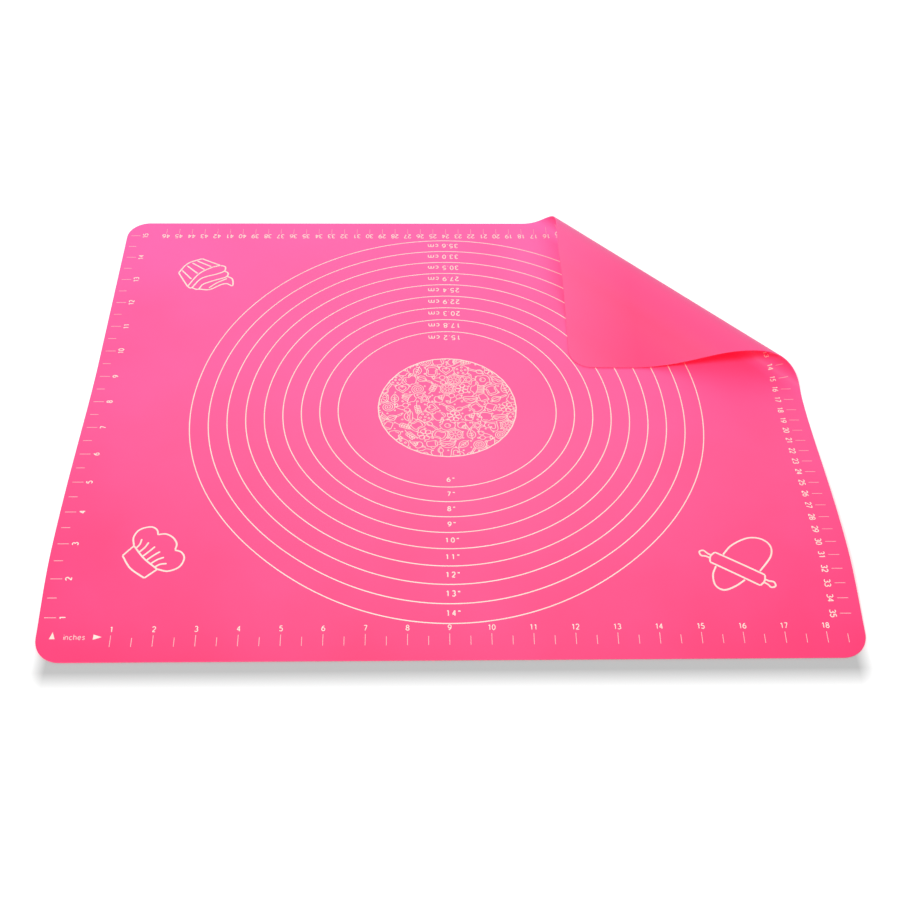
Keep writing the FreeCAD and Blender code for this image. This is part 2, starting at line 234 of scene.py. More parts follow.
def close_poles(mesh):
    """Merges points that fall together, as at the tips of the rounded corners."""
    work = bmesh.new()
    work.from_mesh(mesh)
    bmesh.ops.remove_doubles(work, verts=work.verts, dist=SAME_PLACE * MM)
    work.to_mesh(mesh)
    work.free()


# Materials

def feed(tree, node, inputs):
    """Gives inputs of a node fixed values, or links them to other nodes' outputs."""
    for key, value in inputs.items():
        if isinstance(value, bpy.types.NodeSocket):
            tree.links.new(value, node.inputs[key])
        else:
            node.inputs[key].default_value = value


def add_node(tree, kind, inputs=None, **settings):
    """A node of a tree with its properties set and its inputs fed."""
    node = tree.nodes.new(kind)
    for key, value in settings.items():
        setattr(node, key, value)
    feed(tree, node, inputs or {})
    return node


def colour(red, green, blue):
    """A colour given as it looks on a screen, from 0 to 255, as linear light."""
    share = np.array([red, green, blue]) / 255
    linear = np.where(share <= 0.04045, share / 12.92, ((share + 0.055) / 1.055) ** 2.4)
    return (*linear, 1.0)


def make_grain_group():
    """Mottle and grain of a soft moulded surface, from slow and fine noise over the flat sheet."""
    group = bpy.data.node_groups.new("moulded_grain", "ShaderNodeTree")
    group.interface.new_socket("Place", in_out="INPUT", socket_type="NodeSocketVector")
    for name in ("Mottle Scale", "Grain Scale"):
        group.interface.new_socket(name, in_out="INPUT", socket_type="NodeSocketFloat")
    for name in ("Mottle", "Grain"):
        group.interface.new_socket(name, in_out="OUTPUT", socket_type="NodeSocketFloat")
    inside = add_node(group, "NodeGroupInput")
    outside = add_node(group, "NodeGroupOutput")
    for name, detail in (("Mottle", 3.0), ("Grain", 2.0)):
        scale = inside.outputs[name + " Scale"]
        inputs = {"Vector": inside.outputs["Place"], "Scale": scale, "Detail": detail}
        noise = add_node(group, "ShaderNodeTexNoise", inputs)
        feed(group, outside, {name: noise.outputs["Fac"]})
    return group


GRAIN_GROUP = make_grain_group()


def map_range(tree, value, low, high, to_low=0.0, to_high=1.0):
    """A value stretched from one range to another, and held at the ends."""
    inputs = {"Value": value, "From Min": low, "From Max": high, "To Min": to_low, "To Max": to_high}
    return add_node(tree, "ShaderNodeMapRange", inputs).outputs["Result"]


def mix_colours(tree, first, second, share):
    """Two colours mixed by a share; each is a fixed colour or comes from a node."""
    inputs = {"A": first, "B": second, "Factor": share}
    return add_node(tree, "ShaderNodeMix", inputs, data_type="RGBA").outputs["Result"]


def combine(tree, operation, first, second):
    """Two values from nodes, brought together by one step of arithmetic."""
    inputs = {0: first, 1: second}
    return add_node(tree, "ShaderNodeMath", inputs, operation=operation).outputs["Value"]


def axes(tree, place):
    """The X, Y and Z of a place that comes from a node."""
    return add_node(tree, "ShaderNodeSeparateXYZ", {"Vector": place}).outputs


def measure(tree, operation, place, fixed):
    """A place from a node set against a fixed one, by their distance or their dot product."""
    inputs = {0: place, 1: fixed}
    return add_node(tree, "ShaderNodeVectorMath", inputs, operation=operation).outputs["Value"]


# What all the soft materials share: the mottle's usual range, and how their sheen and grain look
MOTTLE_RANGE = (0.3, 0.7)
SHEEN_ROUGHNESS = 0.4
GRAIN_STRENGTH = 0.35

# The share of bounced light that comes through, and where the underside's painted light near the back
# edge starts
GLOW_SHARE = 0.85
BACK_EDGE_START = 0.75 * BACK

# How far past the first fold line the painted light on the curl's underside is full and gone, and its
# largest share
CURL_FULL = 28.0
CURL_GONE = 66.0
CURL_LIGHT_SHARE = 0.38


def let_light_through(tree, shader, tint):
    """Lets scattered light pass through a thin soft sheet and come out tinted, as under a fold."""
    through = add_node(tree, "ShaderNodeBsdfTranslucent", {"Color": tint})
    rays = add_node(tree, "ShaderNodeLightPath")
    passing = map_range(tree, rays.outputs["Is Diffuse Ray"], 0.0, 1.0, 0.0, GLOW_SHARE)
    inputs = {"Fac": passing, 1: shader.outputs["BSDF"], 2: through.outputs["BSDF"]}
    either = add_node(tree, "ShaderNodeMixShader", inputs)
    feed(tree, tree.nodes["Material Output"], {"Surface": either.outputs["Shader"]})


def soft_material(name, front, back, painted_light_drift, mottle_scale, grain_scale, grain_depth, roughness, ior,
                  sheen=0.0, painted_light_patches=(), underside=None, curl=None, glow=None):
    """A soft matt surface: two near colours, roughness that follows the mottle, and fine grain.

    The colour goes from front to back over the sheet by a share, as painted light: deeper at the
    front and paler towards the back, and the mottle gives the rest. A patch of painted light is a
    paler colour with its middle, its reach and its share there. The underside has two colours: the
    second, close to the back edge, is painted light, and so is a share of a third, paler one on the
    curl, which fades out towards the corner.
    """
    material = bpy.data.materials.new(name)
    material.use_nodes = True
    tree = material.node_tree
    shader = tree.nodes["Principled BSDF"]
    feed(tree, shader, {"IOR": ior, "Sheen Weight": sheen, "Sheen Roughness": SHEEN_ROUGHNESS})
    place = add_node(tree, "ShaderNodeAttribute", attribute_name="flat_place").outputs["Vector"]
    inputs = {"Place": place, "Mottle Scale": mottle_scale, "Grain Scale": grain_scale}
    grain = add_node(tree, "ShaderNodeGroup", inputs, node_tree=GRAIN_GROUP)
    parts = axes(tree, place)
    # Painted light: deeper pink at the front, paler towards the back
    painted_light_share = map_range(tree, parts["Y"], FRONT * MM, BACK * MM, to_high=painted_light_drift)
    from_mottle = map_range(tree, grain.outputs["Mottle"], *MOTTLE_RANGE, to_high=1 - painted_light_drift)
    tint = mix_colours(tree, front, back, combine(tree, "ADD", painted_light_share, from_mottle))
    # Paler patches of painted light, each fading out from its middle
    for patch_light_colour, middle, reach, most in painted_light_patches:
        spread = measure(tree, "DISTANCE", place, (middle[0] * MM, middle[1] * MM, 0.0))
        near = map_range(tree, spread, 0.0, reach * MM, most, 0.0)
        tint = mix_colours(tree, tint, patch_light_colour, near)
    if underside:
        # Painted light: the underside turns paler near the back edge
        painted_edge_light = map_range(tree, parts["Y"], BACK_EDGE_START * MM, BACK * MM)
        below = mix_colours(tree, *underside, painted_edge_light)
        # Painted light: a paler share on the curl's underside, fading out towards the corner
        across = measure(tree, "DOT_PRODUCT", place, (*ACROSS, 0.0))
        curl_painted_light = map_range(tree, across, (FOLD_LINE + CURL_FULL) * MM,
                            (FOLD_LINE + CURL_GONE) * MM, CURL_LIGHT_SHARE, 0.0)
        below = mix_colours(tree, below, curl, curl_painted_light)
        half = THICKNESS / 2 * MM
        tint = mix_colours(tree, below, tint, map_range(tree, parts["Z"], -half, half))
    polish = map_range(tree, grain.outputs["Mottle"], *MOTTLE_RANGE, *roughness)
    inputs = {"Strength": GRAIN_STRENGTH, "Distance": grain_depth * MM, "Height": grain.outputs["Grain"]}
    bump = add_node(tree, "ShaderNodeBump", inputs)
    feed(tree, shader, {"Base Color": tint, "Roughness": polish, "Normal": bump.outputs["Normal"]})
    if glow:
        let_light_through(tree, shader, glow)
    return material


# Painted light: the sheet is painted palest around its middle, and a little paler where the fold starts,
# against the shade of the flap beside it
PAINTED_LIGHT_PATCHES = (
    (colour(255, 123, 178), (0.0, -40.0), 327.0, 0.5),
    (colour(255, 145, 228), (95.0, 163.0), 62.0, 0.32))

# Painted light in the pink: deeper at the front and paler towards the back, paler patches, and the
# underside's paler colours near the back edge and on the curl
silicone = soft_material(
    "pink_silicone", colour(255, 34, 97), colour(255, 102, 178), painted_light_drift=0.84,
    mottle_scale=11.0, grain_scale=900.0, grain_depth=0.05, roughness=(0.46, 0.56), ior=1.41,
    sheen=0.06, painted_light_patches=PAINTED_LIGHT_PATCHES, glow=colour(255, 60, 130),
    underside=(colour(255, 72, 128), colour(255, 94, 150)), curl=colour(255, 108, 180))
INK_GRAIN = dict(painted_light_drift=0.0, mottle_scale=60.0, grain_scale=1500.0, grain_depth=0.02)
ink = soft_material(
    "cream_ink", colour(250, 218, 205), colour(253, 230, 220), roughness=(0.6, 0.7), ior=1.45,
    **INK_GRAIN)
thin_ink = soft_material(
    "thin_cream_ink", colour(252, 178, 182), colour(254, 196, 198), roughness=(0.55, 0.65), ior=1.43,
    **INK_GRAIN)


# The sheet

def strip_names(word):
    """Names for the strips in their order, with a word in each."""
    curl = ["curl%s_%d" % (word, k + 1) for k in range(CURL_WIDTHS.size)]
    settle = ["settle%s_%d" % (word, k + 1) for k in range(SETTLE_STRIPS)]
    return [*curl, "slope" + word, *settle]


BODIES = ["mat", *strip_names(""), "corner"]
STRIP_NODES = strip_names("_strip")

# The visible pieces meet on the strips' middle lines, so each piece bends over one fold line
FOLD_START = -3.0
FOLD_END = STRIP_RUN[-1] + 5.0
SEAMS = (STRIP_RUN[:-1] + STRIP_RUN[1:]) / 2
BEND_EDGES = np.concatenate([[FOLD_START], SEAMS, [FOLD_END]])

# How fine the sheet's mesh is: points round its rim, columns along the fold and rows across it
RIM_TILT = np.radians([54.0, 18.0])
RIM_MARGIN = 0.4
RIM_MARGIN_SHARE = 0.1
CORNER_POINTS = 25
LYING_COLUMNS = 110
BENT_COLUMNS = 40
LYING_STEP = 4.5
LYING_MARGIN = 4.0
FIRST_BEND_STEP = 0.6
BEND_STEP = 0.7
FEWEST_ROWS = 8
CROWDING = 1.6
CLOSEST_ROWS = 0.01


def rim_runs():
    """The rim's middle line as two runs from the front left tip to the back right one.

    Four quarter circles joined by the straight sides, half a thickness inside the edge. Each run
    has rows for the distance across the fold, the place along it, and the way off the sheet.
    """
    quarter = np.unique(np.append(np.linspace(0, np.pi / 2, CORNER_POINTS), FOLD_WAY))
    angle = (quarter + np.pi / 2 * np.arange(4)[:, None]).ravel()
    way = directions(angle)
    corner_signs = np.repeat([(1, 1), (-1, 1), (-1, -1), (1, -1)], quarter.size, axis=0)
    rim = corner_signs * (RIGHT - CORNER_RADIUS, BACK - CORNER_RADIUS)
    rim = rim + (CORNER_RADIUS - THICKNESS / 2) * way
    rows = np.stack([rim @ ACROSS - FOLD_LINE, rim @ ALONG, way[:, 0], way[:, 1]])
    tip = np.searchsorted(quarter, FOLD_WAY)
    foot = tip + 2 * quarter.size
    back_run = rows[:, tip:foot + 1][:, ::-1]
    front_run = np.concatenate([rows[:, foot:], rows[:, :tip + 1]], axis=1)
    return back_run, front_run


BACK_RUN, FRONT_RUN = rim_runs()


def sheet_loops(rows, columns):
    """Closed sections of the flat sheet, one at each distance in rows across the fold.

    A section runs along the fold from one rim to the other on the top face and back on the
    underside, with a half circle round each rim.
    """
    half = THICKNESS / 2
    ends = []
    for run in (BACK_RUN, FRONT_RUN):
        ends.append([np.interp(rows, run[0], value)[:, None] for value in run[1:]])
    (low, low_x, low_y), (high, high_x, high_y) = ends
    margin = np.minimum(RIM_MARGIN, RIM_MARGIN_SHARE * (high - low))
    inner = low + margin + (high - low - 2 * margin) * np.linspace(0, 1, columns - 2)
    along = np.concatenate([low, inner, high], axis=1)
    top = rows[:, None, None] * ACROSS + FOLD_LINE * ACROSS + along[:, :, None] * ALONG

    def rim(face_end, way_x, way_y, tilt):
        """Points of a rim's half circle, out from an end of the section by the tilt's cosine."""
        way = np.stack([way_x, way_y], axis=-1)
        return face_end[:, None] + half * np.cos(tilt)[None, :, None] * way

    low_rim = rim(top[:, 0], low_x, low_y, RIM_TILT[::-1])
    high_rim = rim(top[:, -1], high_x, high_y, RIM_TILT)
    upper = np.concatenate([low_rim, top, high_rim], axis=1)
    rise = half * np.concatenate([np.sin(RIM_TILT[::-1]), np.ones(columns), np.sin(RIM_TILT)])
    rise = np.broadcast_to(rise, upper.shape[:2])[:, :, None]
    upper_face = np.concatenate([upper, rise], axis=-1)
    lower_face = np.concatenate([upper, -rise], axis=-1)[:, ::-1]
    return np.concatenate([upper_face, lower_face], axis=1)


def rows_between(start, end, step):
    """Distances from start to end, close together at both ends and step apart in the middle.

    They follow (1 - cos a) / 2, with the angle a in even steps over a half turn.
    """
    count = max(FEWEST_ROWS, int(CROWDING * (end - start) / step))
    return start + (end - start) * (1 - np.cos(np.linspace(0, np.pi, count))) / 2


def corner_rows(start, end):
    """The distances at which the rim's curved corners have their points."""
    rim = np.concatenate([BACK_RUN[0], FRONT_RUN[0]])
    return rim[(rim > start) & (rim < end)]


def bend_with_fold(piece):
    """Bakes a piece's place into its mesh; the piece already lies bent on the fold."""
    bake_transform(piece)


def make_sheet_pieces():
    """The lying sheet and the bent pieces after it; the CAD solids they stand for are hidden."""
    first, last = BACK_RUN[0][[0, -1]]
    lying_end = FOLD_START - LYING_MARGIN
    lying = [np.arange(first + LYING_MARGIN, lying_end, LYING_STEP), corner_rows(first, FOLD_START)]
    lying += [rows_between(lying_end, SEAMS[0], FIRST_BEND_STEP), [first]]
    pieces = []
    for k in range(len(BODIES) - 1):
        start = first if k == 0 else SEAMS[k - 1]
        end = last if k == len(SEAMS) else SEAMS[k]
        bent = [rows_between(start, end, BEND_STEP), corner_rows(start, end)]
        rows = np.unique(np.concatenate(lying if k == 0 else bent))
        rows = rows[np.append(True, np.diff(rows) > CLOSEST_ROWS)]
        loops = sheet_loops(rows, LYING_COLUMNS if k == 0 else BENT_COLUMNS)
        lids = (k > 0, k < len(SEAMS))
        name = "lying_sheet" if k == 0 else "bent_sheet_%02d" % k
        piece = make_piece(name, loops, tube_faces(*loops.shape[:2], lids=lids), silicone)
        bend_with_fold(piece)
        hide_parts("mat_sheet" if k == 0 else STRIP_NODES[k - 1])
        pieces.append(piece)
    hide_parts("corner_flap")
    return pieces


sheet_pieces = make_sheet_pieces()


# Lines to print with: each is a row of points on a plane

def line(*points):
    """A straight line, or a chain of them."""
    return np.array(points, float)


def arc(x, y, radius_x, radius_y, start=0, end=360, points=33):
    """An ellipse, or the part of it between two angles in degrees.

    Each point is the middle plus the radii times the cosine and the sine of its angle.
    """
    angle = np.radians(np.linspace(start, end, points))
    return (x, y) + directions(angle) * (radius_x, radius_y)


def circle(x, y, radius, points=33):
    """A full circle, closed on itself."""
    return arc(x, y, radius, radius, points=points)


def curve(*points):
    """A smooth line through the points; closed when the last point is the first.

    On each span it is the cubic whose slope at a point is half the step between its neighbours.
    """
    through = np.array(points, float)
    closed = np.allclose(through[0], through[-1])
    before = through[-2] if closed else 2 * through[0] - through[1]
    after = through[1] if closed else 2 * through[-1] - through[-2]
    knots = np.vstack([before, through, after])
    a, b, c, d = (knots[k:len(knots) - 3 + k, None] for k in range(4))
    t = np.linspace(0, 1, 11)[:-1, None]
    square = 2 * a - 5 * b + 4 * c - d
    cube = 3 * b - a - 3 * c + d
    spans = b + (c - a) * t / 2 + square * t ** 2 / 2 + cube * t ** 3 / 2
    return np.vstack([spans.reshape(-1, 2), through[-1:]])


def mirrored(*paths):
    """The paths together with their mirror images left to right."""
    return [*paths, *(path * (-1, 1) for path in paths)]


def placed(paths, middle, turn=0.0, scale=1.0):
    """Paths scaled, turned by an angle in degrees and moved so that their origin is at middle."""
    c, s = directions(math.radians(turn))
    rotation = scale * np.array([(c, s), (-s, c)])
    return [path @ rotation + middle for path in paths]


def travel_along(path):
    """How far along a path each of its points comes."""
    return running_sum(np.hypot(*np.diff(path, axis=0).T))


def points_at(path, at):
    """The points of a path at some distances along it, straight between its own points."""
    travel = travel_along(path)
    return np.stack([np.interp(at, travel, path[:, k]) for k in (0, 1)], axis=-1)


# Printing

# Half section of a printed line: share of its half width, and height above the sheet's face
LINE_SECTION = np.array([(1.0, -0.03), (1.0, 0.015), (0.8, INK_THICKNESS)])
LINE_SECTION = np.concatenate([LINE_SECTION, LINE_SECTION[::-1] * (-1, 1)])

# Lines that cross lie a hair apart. A round end has points at the tip angles, and a wedge keeps a
# small share of its width at its point
HAIR = 0.003
HAIR_TURNS = 7
TIP_ANGLES = np.radians([12.0, 40.0, 65.0])
WEDGE_END = 0.02

# The pieces in the thinner ink, and the sections of the lines of each piece so far
THIN_PRINT = ("front_ruler", "left_ruler", "right_ruler", "back_ruler", "corner_words")
printed = {}


def line_rows(path, width, step, ends):
    """Sections of a printed line as x, y and rise on the flat sheet, and whether it is closed.

    The path is walked in even steps. The half width falls off as a half circle, the square root of
    1 - d^2, at round ends, stays full at square ends, and shrinks evenly almost to nothing in a wedge.
    """
    length = travel_along(path)[-1]
    closed = np.allclose(path[0], path[-1])
    half = width / 2
    count = max(2, math.ceil(length / step) + 1)
    at = np.linspace(0, length, count)
    share = np.ones(count)
    if closed:
        at, share = at[:-1], share[:-1]
    elif ends == "wedge":
        share = np.linspace(1.0, WEDGE_END, count)
    elif ends == "round":
        half = min(half, length / 2)
        tip = half * (1 - np.cos(TIP_ANGLES))
        inner = np.linspace(half, length - half, count)
        at = np.unique(np.concatenate([tip, inner, length - tip]))
        share = np.sqrt(1 - np.clip(1 - np.minimum(at, length - at) / half, 0, 1) ** 2)
    points = points_at(path, at)
    if closed:
        forward = np.roll(points, -1, axis=0) - np.roll(points, 1, axis=0)
    else:
        forward = np.gradient(points, axis=0)
    forward = forward / np.hypot(*forward.T)[:, None]
    side = np.stack([-forward[:, 1], forward[:, 0]], axis=-1)
    sway = (width / 2 * share)[:, None] * LINE_SECTION[:, 0]
    place = points[:, None] + sway[:, :, None] * side[:, None]
    rise = np.broadcast_to(THICKNESS / 2 + LINE_SECTION[:, 1], sway.shape)
    return np.concatenate([place, rise[:, :, None]], axis=-1), closed


def print_lines(piece, paths, width, step=0.45, ends="round"):
    """Adds lines to a printed piece. What lies on the fold goes to the piece of print that bends there.

    Lines cross each other, so each is a hair higher than the one before it, in turns of seven.
    """
    fold_piece = "fold_marks_%02d" if piece in THIN_PRINT else "fold_print_%02d"
    for path in paths:
        rows, closed = line_rows(path, width, step, ends)
        rows[:, :, 2] += HAIR * (sum(map(len, printed.values())) % HAIR_TURNS)
        zone = np.searchsorted(BEND_EDGES[:-1], rows[:, :, :2].mean(axis=1) @ ACROSS - FOLD_LINE)
        if zone.max() == 0:
            printed.setdefault(piece, []).append((rows, closed))
            continue
        if closed:
            rows = np.concatenate([rows, rows[:1]])
            zone = np.append(zone, zone[0])
        cuts = np.flatnonzero(np.diff(zone)) + 1
        for first, last in zip([0, *cuts], [*cuts, len(rows) - 1]):
            if last > first:
                target = fold_piece % zone[first] if zone[first] else piece
                printed.setdefault(target, []).append((rows[first:last + 1], False))


def make_print(name):
    """One mesh of all the lines of a printed piece."""
    flat = []
    quads = []
    start = 0
    for rows, closed in printed[name]:
        flat.append(rows.reshape(-1, 3))
        quads.append(start + tube_faces(*rows.shape[:2], joined=closed))
        start += len(flat[-1])
    thin = name in THIN_PRINT or name.startswith("fold_marks")
    piece = make_piece(name, np.concatenate(flat), np.concatenate(quads), thin_ink if thin else ink)
    return piece


# Lettering: a plain rounded hand, one unit tall, with how far each sign moves the pen on
NUMBER_STEP = 0.76
SIGN_WIDTH = 0.58


def letter_shapes():
    """Lines of each sign that the print needs, and the step to the next sign."""
    arch = [line((0, 0), (0, 0.66)), arc(0.24, 0.4, 0.24, 0.26, 180, 0), line((0.48, 0.42), (0.48, 0))]
    six = [arc(0.29, 0.3, 0.28, 0.3), curve((0.47, 0.99), (0.2, 0.82), (0.04, 0.55), (0.01, 0.3))]
    two = np.vstack([arc(0.29, 0.71, 0.27, 0.29, 165, -32), line((0.03, 0.0))])
    ess = curve((0.42, 0.55), (0.22, 0.66), (0.03, 0.5), (0.22, 0.34), (0.42, 0.16), (0.22, 0), (0, 0.1))
    shapes = {
        "0": [arc(0.29, 0.5, 0.27, 0.5)],
        "1": [line((0.12, 0.8), (0.34, 1.0)), line((0.34, 1.0), (0.34, 0.0))],
        "2": [two, line((0.03, 0), (0.57, 0))],
        "3": [arc(0.27, 0.75, 0.25, 0.25, 150, -90), arc(0.27, 0.26, 0.29, 0.26, 90, -150)],
        "4": [line((0.42, 0.0), (0.42, 1.0)), line((0.42, 1.0), (0.0, 0.3)),
              line((0.0, 0.3), (0.58, 0.3))],
        "5": [line((0.52, 1.0), (0.1, 1.0)), line((0.1, 1.0), (0.06, 0.53)),
              arc(0.27, 0.31, 0.29, 0.31, 135, -150)],
        "6": six,
        "7": [line((0.02, 1.0), (0.57, 1.0)), line((0.57, 1.0), (0.2, 0.0))],
        "8": [arc(0.29, 0.76, 0.23, 0.24), arc(0.29, 0.26, 0.28, 0.26)],
        "9": [(SIGN_WIDTH, 1.0) - path for path in six],
    }
    letters = {sign: (NUMBER_STEP, paths) for sign, paths in shapes.items()}
    letters["."] = (0.34, [line((0.08, 0.0), (0.08, 0.12))])
    letters['"'] = (0.42, [line((0.04, 1.0), (0.04, 0.7)), line((0.24, 1.0), (0.24, 0.7))])
    letters[" "] = (0.4, [])
    letters["c"] = (0.66, [arc(0.26, 0.33, 0.26, 0.33, 45, 315)])
    letters["e"] = (0.68, [arc(0.26, 0.33, 0.26, 0.33, 0, 315), line((0.02, 0.33), (0.52, 0.33))])
    letters["h"] = (0.68, [line((0, 0), (0, 1.0)), *arch[1:]])
    letters["i"] = (0.22, [line((0.02, 0), (0.02, 0.64)), line((0.02, 0.86), (0.02, 0.98))])
    letters["n"] = (0.68, arch)
    letters["s"] = (0.56, [ess])
    letters["m"] = (1.06, arch + placed(arch[1:], (0.48, 0)))
    return letters


LETTERS = letter_shapes()


def lettering(text, middle, turn, height, spread=1.0):
    """Lines of a text whose base line has its middle there and reads in the direction of turn."""
    paths = []
    pen = 0.0
    for sign in text:
        step, shapes = LETTERS[sign]
        paths += [shape + (pen, 0.0) for shape in shapes]
        pen += step * spread
    pen -= step * spread - SIGN_WIDTH
    return placed([path - (pen / 2, 0.0) for path in paths], middle, turn, height)


# A mark this close to the fold, or on it, is walked in small steps so that it can bend
FOLD_MARGIN = 10.0
BENT_MARK_STEP = 0.8

# The rulers: where zero is, the way they count, the way to the sheet's middle, and their marks
RULERS = {
    "front_ruler": dict(
        zero=(LEFT + 19.2, FRONT + 10.2), way=(1, 0), inward=(0, 1), step=INCH, last=18,
        tick=7.3, half_tick=5.8, halves=18, base=9.6, turn=0, height=3.3, mark_line=0.4,
        number_line=0.54),
    "left_ruler": dict(
        zero=(LEFT + 3.2, FRONT + 3.7), way=(0, 1), inward=(1, 0), step=INCH, last=15,
        tick=7.2, half_tick=5.7, halves=14, base=12.9, turn=90, height=3.6, mark_line=0.44,
        number_line=0.7),
    "right_ruler": dict(
        zero=(RIGHT - 6.5, BACK - 20.9), way=(0, -1), inward=(-1, 0), step=10.0, last=35,
        tick=6.8, base=12.9, turn=-90, height=3.6, mark_line=0.36, number_line=0.62),
    "back_ruler": dict(
        zero=(RIGHT - 9.5, BACK - 7.1), way=(-1, 0), inward=(0, -1), step=10.0, last=46,
        tick=6.0, base=6.7, turn=180, height=4.1, mark_line=0.26, number_line=0.62),
}


def print_ruler(name, zero, way, inward, step, last, tick, base, turn, height, mark_line, number_line,
                half_tick=0.0, halves=0):
    """Long marks with their numbers, and short marks half way to the next."""
    zero, way, inward = (np.array(v, float) for v in (zero, way, inward))
    numbers = name.replace("ruler", "numbers")
    marks = [(k, tick) for k in range(1, last + 1)]
    marks += [(k + 0.5, half_tick) for k in range(1, halves + 1)]
    for k, length in marks:
        foot = zero + k * step * way
        on_fold = foot @ ACROSS - FOLD_LINE > FOLD_START - FOLD_MARGIN
        mark_step = BENT_MARK_STEP if on_fold else length
        print_lines(name, [line(foot, foot + length * inward)], mark_line, mark_step, ends="square")
    for k in range(1, last + 1):
        middle = zero + k * step * way + base * inward
        print_lines(numbers, lettering(str(k), middle, turn, height), number_line)


for ruler_name, ruler in RULERS.items():
    print_ruler(ruler_name, **ruler)


# Ring labels: how far inside their ring they stand, how tall they are and how widely spaced
FRONT_LABEL_SHIFT = 1.6
FRONT_LABEL_INSET = 5.3
FRONT_LABEL = dict(turn=0, height=3.5, spread=1.4)
BACK_LABEL_INSET = 4.4
BACK_LABEL = dict(turn=180, height=4.3, spread=1.2)


def print_rings():
    """The guide rings, measured over their lines, with inches at the front and centimetres behind."""
    x, y = RING_MIDDLE
    for inches in RING_INCHES:
        radius = inches * INCH / 2
        ring = circle(x, y, radius - RING_LINE / 2, points=361)
        print_lines("guide_ring_%02d" % inches, [ring], RING_LINE, step=2.0)
        front_place = (x + FRONT_LABEL_SHIFT, y - radius + FRONT_LABEL_INSET)
        back_place = (x, y + radius - BACK_LABEL_INSET)
        labels = lettering('%d"' % inches, front_place, **FRONT_LABEL)
        labels += lettering("%.1f cm" % (inches * INCH / 10), back_place, **BACK_LABEL)
        print_lines("ring_labels", labels, LETTER_LINE)


print_rings()


WORD_LINE = 0.5
ARROW_WIDTH = 3.4


def print_corner_marks():
    """The unit's name in the two corners where rulers start, and arrow heads to the rulers of inches."""
    inches = lettering("inches", (LEFT + 23.3, FRONT + 15.0), 0, 3.3, spread=1.15)
    centimetres = lettering("cm", (RIGHT - 10.5, BACK - 16.0), 180, 2.8)
    print_lines("corner_words", inches + centimetres, WORD_LINE)
    upward = line((LEFT + 9.8, FRONT + 15.4), (LEFT + 9.8, FRONT + 19.8))
    sideways = line((LEFT + 34.3, FRONT + 16.6), (LEFT + 39.3, FRONT + 16.6))
    print_lines("corner_mark", [upward, sideways], ARROW_WIDTH, step=1.0, ends="wedge")


print_corner_marks()


# The four pictures near the corners, in millimetres

def rolling_pin_picture():
    """A rolling pin that lies over a sheet of dough."""
    barrel = [
        line((-16.6, 4.3), (16.9, 4.0)), line((-16.6, -3.9), (16.9, -4.2)),
        curve((-16.6, 4.3), (-17.9, 0.2), (-16.6, -3.9)), curve((16.9, 4.0), (18.1, -0.1), (16.9, -4.2))]
    handles = [
        curve((x * 17.8, 1.2), (x * 20.6, 1.3), (x * 23.4, 2.1), (x * 25.3, 0.1), (x * 23.4, -2.0),
              (x * 20.6, -1.2), (x * 17.8, -1.1)) for x in (-1, 1)]
    dough = [
        curve((-11.4, 5.0), (-9.2, 14.2), (-2.6, 24.2), (5.2, 28.0), (12.3, 25.9), (15.4, 18.3),
              (13.2, 4.9)),
        curve((-12.3, -4.8), (-11.6, -11.6), (-7.6, -17.4), (-1.8, -17.8), (3.4, -12.2), (7.2, -5.1))]
    return barrel + handles + dough


def baker_hat_picture():
    """A tall pleated hat: a band, three puffs and the pleats that rise out of the band."""
    band = [curve((-12.0, 0.2), (0.0, -1.0), (12.0, 0.2)), line((-12.0, 0.2), (-10.9, -9.3))]
    band += [curve((-10.9, -9.3), (-0.3, -11.3), (11.3, -9.3)), line((12.0, 0.2), (11.3, -9.3))]
    puffs = [curve((-12.0, 0.2), (-17.6, 4.0), (-19.8, 10.2), (-16.8, 16.6), (-12.2, 18.0), (-8.3, 16.0)),
             curve((-8.6, 16.3), (-5.4, 20.1), (-0.2, 21.5), (5.2, 20.3), (8.3, 16.8)),
             curve((8.3, 16.5), (12.6, 18.4), (17.4, 16.8), (20.1, 10.9), (17.6, 4.0), (12.0, 0.2))]
    pleats = []
    for x in (-9.6, -5.8, -1.8, 2.2, 6.0, 9.6):
        height = 9.4 - 0.028 * x ** 2
        pleats.append(curve((x, -0.6), (1.08 * x, 0.5 * height), (1.34 * x, height)))
    return band + puffs + pleats


def cupcake_picture():
    """A cake in a pleated paper cup, with three turns of cream that end in a leaning tip."""
    cup = [
        curve((-9.6, -20.8), (1.8, -23.6), (13.2, -19.6)), line((-9.6, -20.8), (-15.4, -5.0)),
        line((13.2, -19.6), (17.2, -2.6)), curve((-15.4, -5.0), (-8.8, -7.6), (2.6, -8.2), (17.2, -2.6))]
    ribs = [
        line((-5.4, -21.0), (-9.4, -8.6)), line((-1.2, -21.8), (-3.6, -9.4)),
        line((3.6, -21.6), (3.0, -9.2)), line((9.6, -20.0), (10.2, -7.4))]
    cream = [
        curve((-15.4, -4.8), (-17.2, -1.2), (-13.8, 2.2), (-7.4, 1.0), (4.2, -2.8), (15.6, 0.6),
              (17.2, -2.6)),
        curve((-13.8, 2.2), (-14.4, 6.2), (-10.6, 8.4), (-3.0, 6.0), (6.8, 3.4), (13.2, 5.4),
              (15.6, 0.6)),
        curve((-11.6, 8.2), (-12.8, 13.6), (-8.4, 19.6), (-6.6, 15.0), (-2.4, 12.8), (7.0, 11.4),
              (12.6, 5.6)),
        curve((-10.2, 10.4), (-2.0, 9.2), (6.2, 9.6))]
    return cup + ribs + cream


